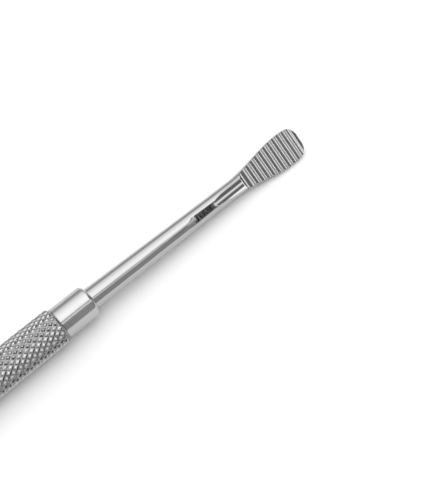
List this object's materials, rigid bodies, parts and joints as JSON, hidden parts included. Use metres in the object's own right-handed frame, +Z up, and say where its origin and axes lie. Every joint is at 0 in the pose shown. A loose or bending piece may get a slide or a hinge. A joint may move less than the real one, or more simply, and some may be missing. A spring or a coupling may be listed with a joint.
{
  "type": "bone file",
  "caption": "Double-ended hand bone file: knurled round handle, plain collars, and slim shanks that end in blunt spoon-shaped heads with straight rows of teeth.",
  "frame": {"origin": "on the surface that the file lies on, under the middle of the handle", "axes": "+X along the handle towards the front working end, +Z up, and both toothed faces turned up and towards -Y"},
  "size_m": [0.183, 0.008, 0.008],
  "materials": {
    "handle_steel": "satin stainless steel, diamond-knurled on the grip",
    "working_end_steel": "polished stainless steel"
  },
  "bodies": {
    "root": {"handle": "handle_steel", "working_end_front": "working_end_steel", "working_end_rear": "working_end_steel"}
  },
  "joints": []
}
